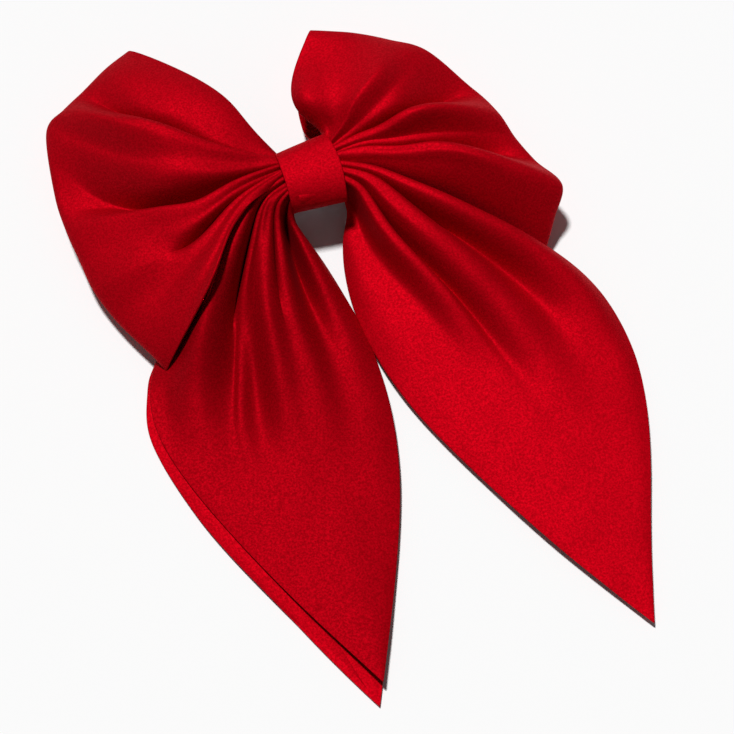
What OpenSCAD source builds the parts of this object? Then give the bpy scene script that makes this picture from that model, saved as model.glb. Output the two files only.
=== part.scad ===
// Satin hair bow on a French barrette: two puffed loops, two long tails, a wrapped knot and a metal clasp.
// Frame: origin where the clasp meets the head, +Z out of the bow's face, +Y towards its top, millimetres.

/* [Fabric] */
// Width of the centre wrap along the bow
wrap_w = 20; // [18:1:24]
// Height of the centre wrap across the bow
wrap_h = 24; // [22:1:28]
// Height of the wrap's face above the rest plane
wrap_z = 28; // [26:1:30]
// Thickness of the folded wrap band
wrap_t = 1; // [0.6:0.1:1]
// Half the thickness of the cloth solids at their edges
hem_t = 1.6; // [1:0.1:1.8]

/* [Barrette] */
// Distance from the hinge pin to the bow's centre line
pin_x = 38.5; // [36:0.5:42]
// Shift of the barrette towards the bow's top
clip_y = 1.5; // [0:0.5:2]
// Width of the top bar
bar_w = 8; // [7:0.5:9]
// Height of the top bar's crown above the rest plane
bar_z = 12.5; // [12.3:0.1:12.6]
// Radius of the top bar's arch
bar_r = 165; // [160:5:200]
// Thickness of the top bar
bar_t = 0.9; // [0.7:0.1:0.9]
// Radius of the hinge pin
pin_r = 0.8; // [0.6:0.05:0.9]

/* [Clasp arm] */
// Width of the arm
arm_w = 7; // [6:0.5:8]
// Width of the arm's paddle at the catch
paddle_w = 9.5; // [9:0.5:10]
// Height of the arm's crown above the rest plane
arm_z = 4.6; // [4.5:0.1:4.8]
// Radius of the arm's arch
arm_r = 260; // [260:5:280]
// Thickness of the arm
arm_t = 1; // [0.8:0.1:1]

/* [Hidden] */

satin = [0.72, 0.02, 0.07];
steel = [0.8, 0.8, 0.82];

// Barrette places that follow from the sizes above
pin_z = 2.6;
run_gap = 0.05;
ear_t = 0.8;
spring_t = 0.4;
spring_w = 6;
spring_z = 9.5;
spring_x = 30;
spring_end = 36;
bar_end = 42;
arm_end = 43.5;
catch_x = 38.5;
catch_l = 5;
plate_t = 0.6;
window_w = 6.2;
prong_y = 2.2;
prong_t = 0.5;
prong_w = 3.4;
prong_top = 5.6;
rivet_r = 0.8;
stitch_r = 0.15;
wrap_corner_r = 4;
wrap_foot_r = 1.6;
spring_pad_z = drop_z(bar_z, bar_r, spring_x) - bar_t - spring_t / 2;
spring_r = spring_x * spring_x / (2 * (spring_z - spring_pad_z));

// Cloth edges from the wrap outwards, as [x, y, height]; the two edges of a piece have equal counts
root_x = 7.4;
loop_left_top = [[-root_x, 8, 21], [-12, 11, 21.5], [-28, 46, 24], [-48, 70, 20], [-68, 66, 16], [-86, 55, 13]];
loop_left_low = [[-root_x, 1, 21], [-15, 2, 22], [-35, -10, 20], [-50, -28, 17], [-62, -42, 11], [-72, -49, 6]];
loop_right_top = [[root_x, 8, 21], [12, 11, 21.5], [5, 22, 24], [5, 34, 26], [10, 46, 27], [18, 55, 26]];
loop_right_low = [[root_x, 1, 21], [16, 1, 23], [38, -16, 24], [54, -32, 20], [70, -41, 15], [84, -42, 9]];
tail_left_out = [[-root_x, -1, 21.5], [-20, -4, 19], [-37, -17, 12], [-60, -45, 5], [-83, -62, 2.5],
    [-83, -88, 2.5], [-62, -138, 2.5], [-37, -193, 2.2]];
tail_left_in = [[-root_x, -6.5, 21.5], [-11.6, -9.5, 19], [-3, -32, 9], [2, -54, 4], [3, -78, 2.5],
    [-2, -112, 2.5], [-16, -154, 2.5], [-34, -195, 2.2]];
tail_right_out = [[root_x, -1, 21.5], [20, -4, 21], [38, -20, 19], [62, -40, 12], [88, -62, 4],
    [95, -96, 2.5], [80, -146, 2.5], [69, -196, 2.2]];
tail_right_in = [[root_x, -6.5, 21.5], [11.6, -9.5, 19], [4, -34, 9], [3, -62, 3], [10, -92, 2.5],
    [23, -122, 2.5], [44, -164, 2.5], [66, -198, 2.2]];

// Height of an arch at a distance from its crown
function drop_z(top, r, x) = top - r + sqrt(r * r - x * x);

// Smooth curve through points, for t from 0 to 1
function curve(p, t) =
    let (n = len(p) - 1, s = min(t * n, n - 0.0001), i = floor(s), f = s - i,
        a = p[max(i - 1, 0)], b = p[i], c = p[i + 1], d = p[min(i + 2, n)])
    (2 * b + (c - a) * f + (2 * a - 5 * b + 4 * c - d) * f * f + (3 * b - a - 3 * c + d) * f * f * f) / 2;

// Point of a cloth solid: u along the piece, v across it, side 1 for the front and -1 for the back
function cloth_point(edge_a, edge_b, rise, bulge, waves, u, v, side) =
    let (a = curve(edge_a, u), b = curve(edge_b, u), arch = sin(180 * v), m = a + (b - a) * v,
        wave = waves[0] * sin(180 * waves[1] * v) * sin(180 * u) * arch)
    [m.x + bulge.x * u * u * arch, m.y + bulge.y * u * u * arch,
        m.z + side * hem_t + curve(rise, u)[side > 0 ? 0 : 1] * arch + wave];

// Closed cloth solid between two edges; rise lists how far the front and the back stand off along it
module cloth_solid(edge_a, edge_b, rise, bulge = [0, 0], waves = [0, 0], along = 18, across = 14) {
    ring = 2 * (across + 1);
    points = [for (i = [0 : along]) for (k = [0 : ring - 1])
        let (front = k <= across, v = (front ? k : ring - 1 - k) / across)
        cloth_point(edge_a, edge_b, rise, bulge, waves, i / along, v, front ? 1 : -1)];
    skin = [for (i = [0 : along - 1]) for (k = [0 : ring - 1])
        let (n = (k + 1) % ring)
        each [[i * ring + k, i * ring + n, (i + 1) * ring + n],
            [i * ring + k, (i + 1) * ring + n, (i + 1) * ring + k]]];
    caps = [for (k = [0 : across - 1])
        let (p = k, q = k + 1, r = ring - 2 - k, s = ring - 1 - k, o = along * ring)
        each [[s, q, p], [s, r, q], [o + s, o + p, o + q], [o + s, o + q, o + r]]];
    polyhedron(points, concat(skin, caps), convexity = 6);
}

// Section of the wrap across the bow, drawn in y and z, smaller by a given amount all round
module wrap_section(inset) {
    hull() {
        for (s = [-1, 1]) {
            translate([s * (wrap_h / 2 - wrap_corner_r), wrap_z - wrap_corner_r])
                circle(wrap_corner_r - inset, $fn = 32);
            translate([clip_y + s * bar_w / 2, bar_z - bar_t]) circle(wrap_foot_r - inset, $fn = 32);
        }
    }
}

// Extrudes a y, z section along x, centred on the bow
module along_x(length) {
    rotate([90, 0, 90]) linear_extrude(length, center = true) children();
}

// Keeps what lies above the barrette's bar
module above_bar(gap) {
    intersection() {
        children();
        translate([-50, -50, bar_z + gap]) cube([100, 100, 50]);
    }
}

// Arched strip along x with its crown at a height, from x1 to x2, centred on the barrette
module arched_strip(top, r, t, x1, x2, w) {
    translate([0, clip_y, 0])
        rotate([90, 0, 0])
            linear_extrude(w, center = true)
                intersection() {
                    translate([0, top - r])
                        difference() {
                            circle(r, $fn = 200);
                            circle(r - t, $fn = 200);
                        }
                    translate([x1, top - 20]) square([x2 - x1, 21]);
                }
}

// Puts its children on the bar's top face at a distance along it, square to the face
module on_bar(x) {
    tilt = asin(x / bar_r);
    translate([x, clip_y, bar_z - bar_r + bar_r * cos(tilt)]) rotate([0, tilt, 0]) children();
}

// Cylinder across the barrette at the hinge pin
module pin_rod(r, w) {
    translate([-pin_x, clip_y + w / 2, pin_z]) rotate([90, 0, 0]) cylinder(w, r = r, $fn = 48);
}

module rivet_holes(xs) {
    for (x = xs) on_bar(x) translate([0, 0, -4]) cylinder(8, r = rivet_r, $fn = 32);
}

module left_loop() {
    color(satin)
        cloth_solid(loop_left_top, loop_left_low,
            [[0.5, -0.5], [4, -2], [11, -3], [12, -5], [9, -6], [3, -6], [0, -3]], [-9, -1], [1.5, 5]);
}

module right_loop() {
    color(satin)
        cloth_solid(loop_right_top, loop_right_low,
            [[0.5, -0.5], [2.5, -2], [8, -4], [9, -6], [8, -10], [4, -12], [0, -9]], [22, 17], [1.5, 5]);
}

module left_tail() {
    color(satin)
        cloth_solid(tail_left_out, tail_left_in,
            [[0.5, -0.5], [2, 0], [4, 0], [3, 0], [2, 0], [1, 0], [1, 0], [0, 0]], [0, 0], [1, 5], 26);
}

module right_tail() {
    color(satin)
        cloth_solid(tail_right_out, tail_right_in,
            [[0.5, -0.5], [2, 0], [4, 0], [3, 0], [2, 0], [1, 0], [1, 0], [0, 0]], [0, 0], [1, 5], 26);
}

module centre_wrap() {
    color(satin)
        along_x(wrap_w)
            difference() {
                wrap_section(0);
                wrap_section(wrap_t);
            }
}

module gathered_centre() {
    color(satin)
        above_bar(0.1) {
            union() {
                along_x(14) wrap_section(wrap_t + 1.2);
                for (s = [-1, 1]) translate([s * 4, 0, 0]) along_x(6) wrap_section(wrap_t + 0.1);
            }
        }
}

module gather_thread() {
    color(satin)
        above_bar(0.15)
            along_x(1.8)
                difference() {
                    wrap_section(wrap_t + 0.15);
                    wrap_section(wrap_t + 1.15);
                }
}

module wrap_stitches() {
    color(satin)
        for (i = [-2 : 2])
            translate([i * 3.5, clip_y + 2, bar_z - bar_t - wrap_foot_r - stitch_r - 0.01])
                rotate([90, 0, 0]) cylinder(4, r = stitch_r, $fn = 16);
}

module barrette_bar() {
    color(steel)
        difference() {
            union() {
                arched_strip(bar_z, bar_r, bar_t, -pin_x, bar_end, bar_w);
                for (s = [-1, 1])
                    translate([0, s * (bar_w - ear_t) / 2, 0]) {
                        pin_rod(1.8, ear_t);
                        translate([-pin_x - 1.8, clip_y - ear_t / 2, pin_z]) cube([3.6, ear_t, 5]);
                    }
            }
            pin_rod(pin_r, bar_w + 1);
            rivet_holes([-33, 33, catch_x]);
            for (x = [-26, 26]) on_bar(x) translate([0, 0, -2]) cylinder(4, r = 1, $fn = 32);
        }
}

module tension_spring() {
    color(steel)
        difference() {
            union() {
                arched_strip(spring_z, spring_r, spring_t, -spring_x - 0.5, spring_x + 0.5, spring_w);
                for (x = [[-spring_end, -spring_x], [spring_x, spring_end - 1.2]])
                    arched_strip(bar_z - bar_t, bar_r - bar_t, spring_t, x[0], x[1], spring_w);
            }
            rivet_holes([-33, 33]);
        }
}

module rivets() {
    color(steel) {
        for (x = [-33, 33]) on_bar(x) rivet(bar_t + spring_t);
        on_bar(catch_x) rivet(bar_t + plate_t);
    }
}

// Rivet with a flat head on both sides of a stack of a given thickness, its top at z = 0
module rivet(stack) {
    translate([0, 0, -stack - 0.4]) cylinder(stack + 0.8, r = rivet_r, $fn = 32);
    for (z = [0, -stack - 0.4]) translate([0, 0, z]) cylinder(0.4, r = 1.4, $fn = 32);
}

module hinge_pin() {
    color(steel) {
        pin_rod(pin_r, bar_w + 0.2);
        for (s = [-1, 1]) translate([0, s * (bar_w / 2 + 0.3), 0]) pin_rod(1.2, 0.6);
    }
}

module clasp_arm() {
    color(steel)
        difference() {
            union() {
                arched_strip(arm_z, arm_r, arm_t, -pin_x, 34, bar_w - 2 * ear_t - 0.4);
                arched_strip(arm_z, arm_r, arm_t, -34, 34, arm_w);
                arched_strip(arm_z, arm_r, arm_t, 33, arm_end, paddle_w);
                pin_rod(1.6, bar_w - 2 * ear_t - 0.4);
            }
            pin_rod(pin_r + run_gap, bar_w);
            translate([catch_x - catch_l / 2, clip_y - window_w / 2, -1]) cube([catch_l, window_w, 8]);
        }
}

module catch_plate() {
    color(steel)
        difference() {
            arched_strip(bar_z - bar_t, bar_r - bar_t, plate_t, spring_end - 0.6, bar_end, bar_w - 1);
            rivet_holes([catch_x]);
        }
}

// Prong of the catch: a blade through the arm's window, a lip at its foot and a finger tab; s is its side
module catch_prong(s) {
    color(steel)
        translate([catch_x, clip_y, 0])
            mirror([0, s > 0 ? 0 : 1, 0])
                translate([-prong_w / 2, 0, 0]) {
                    translate([0, prong_y, 0.5]) cube([prong_w, prong_t, prong_top - 0.5]);
                    translate([0, prong_y, 0.5]) cube([prong_w, prong_t + 0.2, 0.5]);
                    translate([0, prong_y, 4]) cube([prong_w, 4, prong_t]);
                }
}

module catch_prong_upper() {
    catch_prong(1);
}

module catch_prong_lower() {
    catch_prong(-1);
}

left_loop();
right_loop();
left_tail();
right_tail();
centre_wrap();
gathered_centre();
gather_thread();
wrap_stitches();
barrette_bar();
tension_spring();
rivets();
hinge_pin();
clasp_arm();
catch_plate();
catch_prong_upper();
catch_prong_lower();
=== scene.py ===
"""Red satin hair bow on a French barrette. Lengths below are in millimetres in the CAD's own frame."""
import math

import bmesh
import bpy
import numpy as np
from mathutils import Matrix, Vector, noise


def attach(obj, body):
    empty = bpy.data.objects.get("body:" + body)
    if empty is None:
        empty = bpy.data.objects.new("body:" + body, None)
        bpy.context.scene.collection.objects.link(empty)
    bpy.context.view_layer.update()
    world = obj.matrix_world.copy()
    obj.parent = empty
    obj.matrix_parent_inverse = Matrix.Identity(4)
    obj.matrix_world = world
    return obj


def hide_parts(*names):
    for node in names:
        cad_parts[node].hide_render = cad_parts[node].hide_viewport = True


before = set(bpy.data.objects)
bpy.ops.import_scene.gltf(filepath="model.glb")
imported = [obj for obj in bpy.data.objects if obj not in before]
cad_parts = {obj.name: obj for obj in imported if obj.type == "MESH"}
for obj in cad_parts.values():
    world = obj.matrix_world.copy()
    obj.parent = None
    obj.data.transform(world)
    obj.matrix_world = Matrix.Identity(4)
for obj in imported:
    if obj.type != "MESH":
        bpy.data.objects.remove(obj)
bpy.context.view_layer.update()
MM = 0.001

# ---------------------------------------------------------------- sizes

LOOP_THICK = 0.9
TAIL_THICK = 0.8
WRAP_THICK = 1.0
# Half the wrap's width along the bow
WRAP_X = 10.2
# Radius of a loop's outer fold, the gap kept between its front and back, and the back's height at the wrap
LOOP_FOLD_R = 1.8
LOOP_GAP = 1.4
LOOP_BACK_Z = 19.5
# The barrette's arched bar: half its length, its middle across, its top and how slowly it bends down
BAR_HALF = 46
BAR_Y = 1.5
BAR_TOP = 13.6
BAR_BEND = 330

# A panel of cloth lies between two hems, points (x, y, height), and on a loop an outer edge, points
# (x, y). A fold line is a ridge, a valley, a crest (a thin upper edge) or plain panel. Each has its
# shares of the panel's width, from the upper hem, at stations outwards from the wrap, then its
# heights at even steps. On a loop the stations are those same steps.
LEFT_LOOP = {
    "upper": [(-16, 26, 27), (-22, 40, 28), (-35, 58, 24), (-49, 75, 17)],
    "lower": [(-25, -7, 29), (-37, -18, 30), (-49, -34, 27), (-72, -52, 6)],
    "outer": [(-68, 66), (-88, 54), (-93, 22), (-88, -20)],
    "folds": [
        ("panel", (0.30, 0.22, 0.20, 0.12), (29, 30, 26, 17)),
        ("valley", (0.45, 0.40, 0.34, 0.24), (27, 25, 20, 15)),
        ("crest", (0.50, 0.48, 0.42, 0.32), (31, 34, 29, 15)),
        ("ridge", (0.62, 0.60, 0.53, 0.40), (29, 31, 23, 12)),
        ("valley", (0.73, 0.73, 0.66, 0.56), (15, 7, 9, 9)),
        ("ridge", (0.78, 0.78, 0.70, 0.65), (29, 28, 21, 9)),
        ("panel", (0.82, 0.83, 0.76, 0.70), (28, 27, 20, 9)),
        ("valley", (0.86, 0.87, 0.83, 0.77), (24, 15, 20, 9)),
        ("ridge", (0.90, 0.92, 0.89, 0.86), (27, 26, 20, 8)),
        ("ridge", (0.95, 0.97, 0.96, 0.96), (29, 28, 24, 8)),
    ],
}
RIGHT_LOOP = {
    "upper": [(9, 17, 23), (3, 26, 27), (6, 40, 27), (18, 57, 26)],
    "lower": [(21, -5, 19), (33, -14, 17), (50, -27, 11), (77, -48, 4)],
    "outer": [(37, 50), (57, 37), (71, 18), (79, -5), (89, -31)],
    "folds": [
        ("ridge", (0.10, 0.10, 0.10, 0.09), (26, 32, 29, 26)),
        ("panel", (0.23, 0.24, 0.22, 0.16), (28, 31, 30, 25)),
        ("crest", (0.33, 0.36, 0.34, 0.24), (31, 35, 34, 25)),
        ("panel", (0.43, 0.47, 0.43, 0.34), (28, 31, 30, 24)),
        ("valley", (0.51, 0.55, 0.54, 0.50), (24, 23, 20, 17)),
        ("ridge", (0.60, 0.62, 0.60, 0.60), (29, 32, 34, 20)),
        ("panel", (0.65, 0.68, 0.68, 0.67), (28, 28, 25, 16)),
        ("valley", (0.71, 0.74, 0.73, 0.74), (24, 20, 17, 15)),
        ("ridge", (0.77, 0.79, 0.80, 0.83), (29, 31, 32, 18)),
        ("panel", (0.87, 0.86, 0.86, 0.92), (28, 30, 29, 12)),
    ],
}
LEFT_TAIL = {
    "upper": [(-24, 0, 15), (-42, -9, 9), (-68, -37, 3), (-81, -61, 3), (-78, -91, 3), (-58, -140, 4)],
    "lower": [(-10, -12, 14), (-6, -22, 7), (0, -44, 3), (3, -73, 3), (-1, -108, 3), (-14, -146, 3)],
    "outer": [],
    "folds": [
        ("panel", (0.20, 0.10, 0.05), (25, 23, 13, 4, 4, 4)),
        ("ridge", (0.30, 0.22, 0.16), (26, 26, 22, 12, 5, 5)),
        ("valley", (0.40, 0.36, 0.25), (19, 10, 2, 2, 4, 4)),
        ("panel", (0.46, 0.41, 0.31), (24, 20, 12, 8, 6, 5)),
        ("panel", (0.50, 0.48, 0.40), (25, 22, 15, 3, 4, 5)),
        ("ridge", (0.55, 0.56, 0.51), (25, 22, 20, 14, 7, 6)),
        ("valley", (0.62, 0.64, 0.61), (20, 15, 12, 10, 6, 5)),
        ("ridge", (0.68, 0.72, 0.70), (24, 20, 16, 11, 6, 5)),
        ("panel", (0.78, 0.80, 0.79), (12, 3, 2, 6, 5, 5)),
        ("ridge", (0.88, 0.89, 0.90), (18, 14, 10, 7, 5, 5)),
    ],
}
RIGHT_TAIL = {
    "upper": [(22, -5, 27), (33, -14, 27), (50, -28, 23), (75, -49, 13), (92, -76, 4), (92, -115, 3),
        (78, -158, 3)],
    "lower": [(10, -13, 11), (6, -21, 5), (2, -38, 3), (2, -60, 3), (9, -91, 3), (25, -127, 3),
        (43, -161, 3)],
    "outer": [],
    "folds": [
        ("ridge", (0.10, 0.10, 0.10), (29, 30, 29, 20, 10, 5, 4)),
        ("valley", (0.21, 0.26, 0.27), (25, 23, 12, 5, 6, 5, 4)),
        ("ridge", (0.36, 0.42, 0.40), (28, 28, 26, 20, 12, 6, 4)),
        ("valley", (0.48, 0.53, 0.52), (22, 17, 9, 7, 6, 5, 4)),
        ("ridge", (0.57, 0.58, 0.62), (25, 23, 21, 16, 8, 6, 4)),
        ("valley", (0.66, 0.67, 0.74), (19, 14, 10, 9, 7, 5, 4)),
        ("panel", (0.81, 0.82, 0.90), (12, 7, 8, 8, 6, 5, 4)),
    ],
}
# Where a tail's shares are given, from 0 at the wrap to 1 at its tip
TAIL_STATIONS = (0.25, 0.55, 0.75)
# Where each panel leaves the wrap (x, upper y, lower y), the points that the tails end in, and
# the height of each kind of line at the wrap
LOOP_ROOT = (8.5, 10.5, 2.2)
LEFT_TAIL_ROOT = (8.5, 3, -8)
RIGHT_TAIL_ROOT = (8.5, 3.2, -8)
LEFT_TIP = (-33, -188, 5)
RIGHT_TIP = (65, -196.5, 2.5)
ROOT_HEIGHT = {"hem": 22.5, "panel": 24.5, "ridge": 26, "crest": 25.5, "valley": 22}
# Section of the wrap across the bow, (y, height), from its top round to its back and up again
WRAP_SECTION = [(0, 28.3), (5.5, 28), (9, 27.2), (11.6, 25.2), (12.2, 22.5), (11, 18.5), (8.2, 13.6),
    (5.6, 10.9), (1.5, 10.2), (-2.6, 10.8), (-5.4, 13.4), (-9.4, 17.3), (-11.2, 20.6), (-10.8, 23.6),
    (-8, 26.2), (-4.1, 27.7)]

# ---------------------------------------------------------------- curves and surfaces


def smooth_curve(points, n, closed=False):
    """n + 1 points on a natural cubic spline through points, evenly spaced in its parameter."""
    p = np.asarray(points, float)
    if closed:
        wrap = 3
        p = np.concatenate([p[-wrap:], p, p[:wrap + 1]])
    k = len(p)
    a = np.eye(k) * 4
    a[0, 0] = a[-1, -1] = 1
    b = np.zeros_like(p)
    for i in range(1, k - 1):
        a[i, i - 1] = a[i, i + 1] = 1
        b[i] = 6 * (p[i - 1] - 2 * p[i] + p[i + 1])
    m = np.linalg.solve(a, b)
    t = np.linspace(0, k - 1, n + 1)
    if closed:
        t = np.linspace(wrap, k - 1 - wrap, n + 1)
    i = np.minimum(t.astype(int), k - 2)
    f = (t - i)[:, None]
    g = 1 - f
    return g * p[i] + f * p[i + 1] + (g ** 3 - g) * m[i] / 6 + (f ** 3 - f) * m[i + 1] / 6


def smoothstep(low, high, x):
    t = np.clip((x - low) / (high - low), 0, 1)
    return t * t * (3 - 2 * t)


def fold_lines(panel, side, root, tip=None):
    """A panel's hems and folds from the upper hem to the lower one, as (kind, points from the wrap)."""
    x, top, low = root
    ends = [tip] if tip else []
    upper = [(side * x, top, ROOT_HEIGHT["hem"])] + panel["upper"] + ends
    lower = [(side * x, low, ROOT_HEIGHT["hem"])] + panel["lower"] + ends
    edge = np.array([upper[-1][:2]] + panel["outer"] + [lower[-1][:2]], float)
    edge_share = np.linspace(0, 1, len(edge))
    out = np.linspace(0, 1, len(upper))
    lines = [("hem", upper)]
    for k, (kind, shares, heights) in enumerate(panel["folds"], start=1):
        stations = TAIL_STATIONS if tip else out[1:]
        share = np.interp(out, [0, *stations], [k / (len(panel["folds"]) + 1), *shares])
        height = [ROOT_HEIGHT[kind], *heights] + [end[2] for end in ends]
        points = []
        for i, s in enumerate(share):
            a, b = np.array(upper[i][:2], float), np.array(lower[i][:2], float)
            on_edge = np.array([np.interp(s, edge_share, edge[:, axis]) for axis in (0, 1)])
            pull = on_edge - (edge[0] * (1 - s) + edge[-1] * s)
            points.append((*(a * (1 - s) + b * s + out[i] * pull), height[i]))
        lines.append((kind, points))
    return lines + [("hem", lower)]


def fan(lines, n_u, n_v, soft_from, soft_to):
    """Points (n_u + 1, n_v + 1, 3) through a panel's lines, with round ridges and creased valleys."""
    kinds = [kind for kind, _ in lines]
    rib = np.stack([smooth_curve(points, n_u) for _, points in lines], axis=1)
    u = np.linspace(0, 1, n_u + 1)
    count = len(lines)
    sharp = 1 - smoothstep(soft_from, soft_to, u)
    before = np.concatenate([2 * rib[:, :1] - rib[:, 1:2], rib[:, :-1]], axis=1)
    after = np.concatenate([rib[:, 1:], 2 * rib[:, -1:] - rib[:, -2:-1]], axis=1)
    slope_in = (after - before) / 2
    slope_out = slope_in.copy()
    rise_in = rib[..., 2] - before[..., 2]
    rise_out = after[..., 2] - rib[..., 2]
    for k, kind in enumerate(kinds):
        if kind in ("ridge", "valley"):
            slope_in[:, k, 2] = slope_out[:, k, 2] = 0
        elif kind == "panel" and "valley" in kinds[max(k - 1, 0):k + 2]:
            slope_in[:, k, 2] *= 1 - sharp
            slope_out[:, k, 2] *= 1 - sharp
        elif kind == "crest":
            slope_in[:, k, 2] = 1.3 * sharp * rise_in[:, k]
            slope_out[:, k, 2] = 0.2 * sharp * rise_out[:, k]
        elif kind == "hem":
            slope_out[:, k, 2] = (1.2 + 1.2 * sharp) * rise_out[:, k]
            slope_in[:, k, 2] = (1.2 + 1.2 * sharp) * rise_in[:, k]
    v = np.linspace(0, count - 1, n_v + 1)
    k = np.minimum(v.astype(int), count - 2)
    t = (v - k)[None, :, None]
    h00 = 2 * t ** 3 - 3 * t ** 2 + 1
    h10 = t ** 3 - 2 * t ** 2 + t
    h01 = -2 * t ** 3 + 3 * t ** 2
    h11 = t ** 3 - t ** 2
    grid = h00 * rib[:, k] + h10 * slope_out[:, k] + h01 * rib[:, k + 1] + h11 * slope_in[:, k + 1]
    power = 4 + 2 * (1 - smoothstep(0.1, 0.5, u))[:, None]
    for k, kind in enumerate(kinds):
        for side in (-1, 1):
            if kind != "valley" or not 0 <= k + side < count:
                continue
            here = (side * (v - k) > 0) & (side * (v - k) < 1)
            away = side * (v[here] - k)[None, :]
            drop = (rib[:, k + side, 2] - rib[:, k, 2])[:, None]
            steep = rib[:, k, 2][:, None] + drop * (1 - (1 - away) ** power)
            share = sharp[:, None]
            grid[:, here, 2] = grid[:, here, 2] * (1 - share) + steep * share
    return grid


def settle(grid, start, stop, reach):
    """Lets the folds of a grid die away between two shares of its length, keeping its hems."""
    out = grid.copy()
    rows, cols = grid.shape[:2]
    width = int(cols * reach)
    share = smoothstep(start, stop, np.linspace(0, 1, rows))[:, None]
    height = grid[..., 2]
    ramp = height[:, :1] + (height[:, -1:] - height[:, :1]) * np.linspace(0, 1, cols)
    proud = height - ramp
    for _ in range(3):
        padded = np.pad(proud, ((0, 0), (width, width)), mode="reflect", reflect_type="odd")
        total = np.cumsum(np.pad(padded, ((0, 0), (1, 0))), axis=1)
        proud = (total[:, 2 * width + 1:] - total[:, :-2 * width - 1]) / (2 * width + 1)
    out[..., 2] = height * (1 - share) + (ramp + proud) * share
    return out


def ripple(grid, amount, size, seed, u_fade=0.1):
    """Gentle uneven waves on a grid of cloth points, none at the wrap."""
    out = grid.copy()
    rows = grid.shape[0]
    for i in range(rows):
        fade = min(1.0, i / (rows * u_fade))
        for j in range(grid.shape[1]):
            p = Vector(grid[i, j]) / size
            out[i, j, 2] += fade * amount * noise.noise(p + Vector((seed, 0, 0)))
    return out


def mesh_piece(name, grid, material, thick, offset=0):
    """A sheet of cloth from a grid of points, with its real thickness and soft edges."""
    rows, cols = grid.shape[:2]
    points = grid.reshape(-1, 3) * MM
    faces = [(i * cols + j, i * cols + j + 1, (i + 1) * cols + j + 1, (i + 1) * cols + j)
        for i in range(rows - 1) for j in range(cols - 1)]
    mesh = bpy.data.meshes.new(name)
    mesh.from_pydata(points.tolist(), [], faces)
    mesh.materials.append(material)
    for face in mesh.polygons:
        face.use_smooth = True
    piece = bpy.data.objects.new(name, mesh)
    bpy.context.scene.collection.objects.link(piece)
    solid = piece.modifiers.new("thickness", "SOLIDIFY")
    solid.thickness = thick * MM
    solid.offset = offset
    solid.use_even_offset = False
    soft = piece.modifiers.new("soft edges", "SUBSURF")
    soft.levels = soft.render_levels = 1
    return piece


# ---------------------------------------------------------------- materials


def new_material(name):
    material = bpy.data.materials.new(name)
    material.use_nodes = True
    tree = material.node_tree
    return material, tree, tree.nodes["Principled BSDF"]


def satin_material(name, brightness):
    """Deep red polyester satin with a fine grain and a broad red gloss; the lower the second argument, the
    dimmer the red, and the dimmer copies on the loops and the left tail are painted shade for the sheen
    catching less light there.
    """
    material, tree, shader = new_material(name)
    nodes, links = tree.nodes, tree.links
    place = nodes.new("ShaderNodeTexCoord")
    grain = nodes.new("ShaderNodeTexNoise")
    grain.inputs["Scale"].default_value = 1300
    grain.inputs["Detail"].default_value = 3
    grain.inputs["Roughness"].default_value = 0.7
    links.new(place.outputs["Object"], grain.inputs["Vector"])
    mottle = nodes.new("ShaderNodeTexNoise")
    mottle.inputs["Scale"].default_value = 60
    mottle.inputs["Detail"].default_value = 2
    links.new(place.outputs["Object"], mottle.inputs["Vector"])
    tint = nodes.new("ShaderNodeValToRGB")
    tint.color_ramp.elements[0].position = 0.4
    tint.color_ramp.elements[0].color = (0.17 * brightness, 0.0, 0.002 * brightness, 1)
    tint.color_ramp.elements[1].position = 0.62
    tint.color_ramp.elements[1].color = (0.36 * brightness, 0.0, 0.005 * brightness, 1)
    links.new(grain.outputs["Fac"], tint.inputs["Fac"])
    links.new(tint.outputs["Color"], shader.inputs["Base Color"])
    rough = nodes.new("ShaderNodeMapRange")
    rough.inputs["From Min"].default_value = 0.3
    rough.inputs["From Max"].default_value = 0.7
    rough.inputs["To Min"].default_value = 0.75
    rough.inputs["To Max"].default_value = 0.58
    links.new(grain.outputs["Fac"], rough.inputs["Value"])
    links.new(rough.outputs["Result"], shader.inputs["Roughness"])
    bump = nodes.new("ShaderNodeBump")
    bump.inputs["Strength"].default_value = 0.35
    bump.inputs["Distance"].default_value = 0.00025
    links.new(grain.outputs["Fac"], bump.inputs["Height"])
    links.new(bump.outputs["Normal"], shader.inputs["Normal"])
    shader.inputs["Specular IOR Level"].default_value = 1.0
    shader.inputs["IOR"].default_value = 2.2
    shader.inputs["Specular Tint"].default_value = (brightness, 0.002 * brightness, 0.015 * brightness, 1)
    shader.inputs["Sheen Weight"].default_value = 0.015
    shader.inputs["Sheen Roughness"].default_value = 0.35
    shader.inputs["Sheen Tint"].default_value = (1, 0.1, 0.15, 1)
    return material


def steel_material(name, colour, low, high, scale):
    """Plated metal whose gloss varies in fine streaks."""
    material, tree, shader = new_material(name)
    nodes, links = tree.nodes, tree.links
    place = nodes.new("ShaderNodeTexCoord")
    stretch = nodes.new("ShaderNodeMapping")
    stretch.inputs["Scale"].default_value = (0.06, 1, 1)
    links.new(place.outputs["Object"], stretch.inputs["Vector"])
    streak = nodes.new("ShaderNodeTexNoise")
    streak.inputs["Scale"].default_value = scale
    streak.inputs["Detail"].default_value = 4
    links.new(stretch.outputs["Vector"], streak.inputs["Vector"])
    rough = nodes.new("ShaderNodeMapRange")
    rough.inputs["To Min"].default_value = low
    rough.inputs["To Max"].default_value = high
    links.new(streak.outputs["Fac"], rough.inputs["Value"])
    links.new(rough.outputs["Result"], shader.inputs["Roughness"])
    bump = nodes.new("ShaderNodeBump")
    bump.inputs["Strength"].default_value = 0.08
    bump.inputs["Distance"].default_value = 0.0001
    links.new(streak.outputs["Fac"], bump.inputs["Height"])
    links.new(bump.outputs["Normal"], shader.inputs["Normal"])
    shader.inputs["Base Color"].default_value = colour
    shader.inputs["Metallic"].default_value = 1
    return material


# The loops' and the left tail's satin are darker copies of the same satin, as painted shade standing for the
# sheen catching less light on them.
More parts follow.
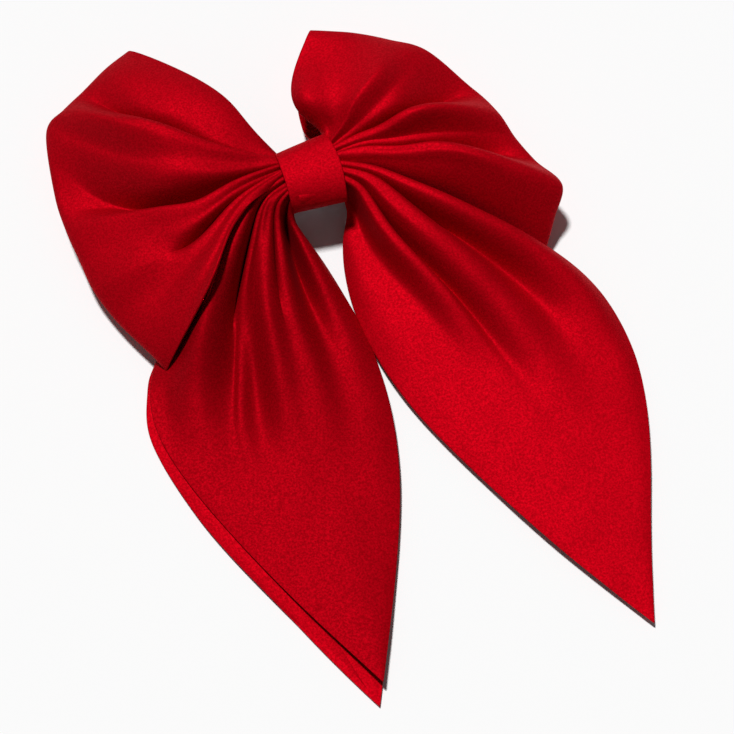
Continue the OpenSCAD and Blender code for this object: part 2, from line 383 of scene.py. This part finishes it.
satin = satin_material("red satin", 1.0)
shaded_loop_satin = satin_material("red satin of the loops with painted shade", 0.88)
shaded_tail_satin = satin_material("red satin of the left tail with painted shade", 0.72)
thread = satin_material("red thread", 0.9)
plated = steel_material("plated steel", (0.78, 0.78, 0.8, 1), 0.18, 0.36, 2500)
spring = steel_material("spring steel", (0.6, 0.61, 0.64, 1), 0.28, 0.42, 4000)

# ---------------------------------------------------------------- cloth pieces


def loop_back(front, root_z, mid_z, tuck, lip):
    """The back panel of a loop: under the front one and flatter, or close under it beside a lip."""
    n_u, n_v = front.shape[0] - 1, front.shape[1] - 1
    u = np.linspace(0, 1, n_u + 1)[:, None]
    v = np.linspace(0, 1, n_v + 1)[None, :]
    back = front.copy()
    mean = front[..., 2].mean(axis=1, keepdims=True)
    folds = front[..., 2] - mean
    edge_z = front[-1:, :, 2]
    base = root_z + (mid_z - root_z) * smoothstep(0, 0.6, u)
    base = base - 3.5 * (1 - np.sin(math.pi * v)) * smoothstep(0.1, 0.5, u)
    out = smoothstep(0.55, 1.0, u)
    back[..., 2] = (base - 0.35 * folds * (1 - smoothstep(0.3, 0.9, u))) * (1 - out) + edge_z * out
    near = front[..., 2] - 2.5 - 14 * (1 - v)
    beside = lip * smoothstep(0.6, 0.85, v) * smoothstep(0.05, 0.3, u)
    back[..., 2] += np.maximum(near - back[..., 2], 0) * beside
    middle = front.mean(axis=1, keepdims=True)
    inwards = tuck * np.sin(math.pi * np.minimum(u * 1.3, 1))
    back[..., :2] += (middle[..., :2] - front[..., :2]) * inwards[..., None]
    return back


def loop_sheet(front, back, fold_r, fold_w=0.08):
    """One sheet that runs out along the front, round the outer fold and back underneath."""
    n_u = front.shape[0] - 1
    u = np.linspace(0, 1, n_u + 1)
    s = np.clip((u - (1 - fold_w)) / fold_w, 0, 1)
    puff = (fold_r * np.sqrt(1 - s * s) * smoothstep(0.3, 1 - fold_w, u))[:, None]
    top, bottom = front.copy(), back.copy()
    top[..., 2] += puff
    bottom[..., 2] -= puff
    return np.concatenate([top, bottom[-2::-1]], axis=0)


def bar_height(x, y):
    """Height that cloth keeps above the barrette's arched bar."""
    near = 1 - smoothstep(7, 12, np.abs(y - BAR_Y))
    return np.where(np.abs(x) < BAR_HALF, (BAR_TOP - x * x / BAR_BEND) * near, 0)


def make_loop(name, lines, material, seed, mid_z, tuck, lip):
    """A loop from its front's lines; tuck pulls its back inwards, and lip holds it close under a lip."""
    front = ripple(fan(lines, 120, 180, soft_from=0.6, soft_to=1.0), 0.5, 16, seed)
    back = ripple(loop_back(front, LOOP_BACK_Z, mid_z, tuck, lip), 0.8, 22, seed + 5)
    back[..., 2] = np.maximum(back[..., 2], bar_height(back[..., 0], back[..., 1]))
    n_u = front.shape[0] - 1
    apart = LOOP_GAP * smoothstep(1.0, 0.9, np.linspace(0, 1, n_u + 1))[:, None]
    front[..., 2] = np.maximum(front[..., 2], back[..., 2] + apart)
    sheet = loop_sheet(front, back, LOOP_FOLD_R)
    return mesh_piece(name, sheet, material, LOOP_THICK)


def tail_lining(front):
    """The left tail's back layer, under the front one and a little proud of it on the slanted side."""
    rows, cols = front.shape[:2]
    u = np.linspace(0, 1, rows)[:, None]
    v = np.linspace(0, 1, cols)[None, :]
    lining = front.copy()
    proud = (1.2 * smoothstep(0.46, 0.52, u) + 2 * smoothstep(0.54, 0.66, u)) * (1 - smoothstep(0.76, 0.9, u))
    side = np.clip(1 - v / 0.3, 0, 1)
    across = front[:, :1, :2] - front[:, 30:31, :2]
    across /= np.maximum(np.linalg.norm(across, axis=2, keepdims=True), 1e-6)
    lining[..., :2] += across * (proud * side)[..., None]
    lining[..., :2] += np.array((-3.5, -7)) * smoothstep(0.6, 1.0, u)[..., None]
    lower = 1.0 + 1.2 * side * smoothstep(0.5, 0.7, u) + 3.5 * smoothstep(0.8, 1.0, u)
    lining[..., 2] = np.maximum(front[..., 2] - lower, 0.7)
    return lining


def wrap_grid():
    """Points of the wrap, round its section and along the bow; its front swells and widens to the right."""
    section = smooth_curve(WRAP_SECTION, 120, closed=True)[:-1]
    rows = []
    for x in np.linspace(-WRAP_X, WRAP_X, 41):
        swell = 1 + 0.012 * math.cos(x / WRAP_X * math.pi / 2)
        row = []
        for y, z in np.vstack([section, section[:1]]):
            front = smoothstep(14, 24, z)
            bulge = 0.9 * front * math.cos(math.pi * y / 26)
            flare = 1 + 0.011 * x * front
            row.append((x * (1 + 0.09 * bulge) + bulge - 0.2, y * swell * flare, (z - 18) * swell + 18))
        rows.append(row)
    return np.array(rows)


def close_seam(piece):
    """Joins a sheet's two ends where they meet."""
    joined = bmesh.new()
    joined.from_mesh(piece.data)
    bmesh.ops.remove_doubles(joined, verts=joined.verts, dist=1e-6)
    joined.to_mesh(piece.data)
    joined.free()


def finish_cloth(piece, node):
    """Ties a piece of cloth to the bow and hides the CAD part that it stands for."""
    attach(piece, "bow")
    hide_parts(node)


left_loop = make_loop("left_loop_cloth", fold_lines(LEFT_LOOP, -1, LOOP_ROOT), shaded_loop_satin, 3.1, 9, 0.05, 1)
finish_cloth(left_loop, "left_loop")
right_loop = make_loop("right_loop_cloth", fold_lines(RIGHT_LOOP, 1, LOOP_ROOT), satin, 7.7, 10, 0.14, 0)
finish_cloth(right_loop, "right_loop")

left_tail_lines = fold_lines(LEFT_TAIL, -1, LEFT_TAIL_ROOT, LEFT_TIP)
left_tail_grid = fan(left_tail_lines, 180, 160, soft_from=0.4, soft_to=0.7)
left_tail_grid = settle(settle(left_tail_grid, 0.3, 0.5, 0.035), 0.6, 0.82, 0.12)
left_tail_grid = ripple(left_tail_grid, 0.6, 18, 11.3)
left_tail = mesh_piece("left_tail_cloth", left_tail_grid, shaded_tail_satin, TAIL_THICK)
finish_cloth(left_tail, "left_tail")
left_lining = mesh_piece("left_tail_lining", tail_lining(left_tail_grid), satin, TAIL_THICK)
finish_cloth(left_lining, "left_tail")
right_tail_lines = fold_lines(RIGHT_TAIL, 1, RIGHT_TAIL_ROOT, RIGHT_TIP)
right_tail_grid = fan(right_tail_lines, 190, 150, soft_from=0.4, soft_to=0.8)
right_tail_grid = settle(settle(right_tail_grid, 0.25, 0.45, 0.025), 0.56, 0.8, 0.12)
right_tail_grid = ripple(right_tail_grid, 0.6, 18, 17.9)
right_tail = mesh_piece("right_tail_cloth", right_tail_grid, satin, TAIL_THICK)
finish_cloth(right_tail, "right_tail")

wrap = mesh_piece("centre_wrap_cloth", wrap_grid(), satin, WRAP_THICK, offset=-1)
close_seam(wrap)
finish_cloth(wrap, "centre_wrap")

# ---------------------------------------------------------------- barrette and thread

MADE_OF = (
    (plated, ("barrette_bar", "rivets", "hinge_pin", "clasp_arm", "catch_plate")),
    (spring, ("tension_spring", "catch_prong_upper", "catch_prong_lower")),
    (satin, ("gathered_centre",)),
    (thread, ("gather_thread", "wrap_stitches")),
)
for material, nodes in MADE_OF:
    for node in nodes:
        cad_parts[node].data.materials.clear()
        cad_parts[node].data.materials.append(material)

# ---------------------------------------------------------------- floor, light and camera

AIM = Vector((-0.0021, -0.0746, 0.010))
AZIMUTH, ELEVATION, DISTANCE = math.radians(-18), math.radians(67), 0.95
LENS, SENSOR = 127.7, 36


def flat_colour(name, colour, rough):
    material, _, shader = new_material(name)
    shader.inputs["Base Color"].default_value = colour
    shader.inputs["Roughness"].default_value = rough
    shader.inputs["Specular IOR Level"].default_value = 0.2
    return material


bpy.ops.mesh.primitive_plane_add(size=6, location=(0, 0, -0.0003))
floor = bpy.context.object
floor.name = "floor"
floor.data.materials.append(flat_colour("white floor", (0.95, 0.95, 0.95, 1), 0.8))

world = bpy.data.worlds.new("studio")
bpy.context.scene.world = world
world.use_nodes = True
world.node_tree.nodes["Background"].inputs["Color"].default_value = (1, 1, 1, 1)
world.node_tree.nodes["Background"].inputs["Strength"].default_value = 0.08

key_data = bpy.data.lights.new("key", "SUN")
key_data.energy = 3.1
key_data.angle = math.radians(7)
key = bpy.data.objects.new("key", key_data)
key.rotation_euler = Vector((-0.09, 0.34, 1)).to_track_quat("Z", "Y").to_euler()
bpy.context.scene.collection.objects.link(key)

camera_data = bpy.data.cameras.new("camera")
camera_data.lens = LENS
camera_data.sensor_width = SENSOR
camera = bpy.data.objects.new("camera", camera_data)
towards = Vector((math.sin(AZIMUTH) * math.cos(ELEVATION), -math.cos(AZIMUTH) * math.cos(ELEVATION),
    math.sin(ELEVATION)))
camera.location = AIM + towards * DISTANCE
camera.rotation_euler = (-towards).to_track_quat("-Z", "Y").to_euler()
bpy.context.scene.collection.objects.link(camera)
bpy.context.scene.camera = camera
bpy.context.scene.view_settings.view_transform = "Standard"
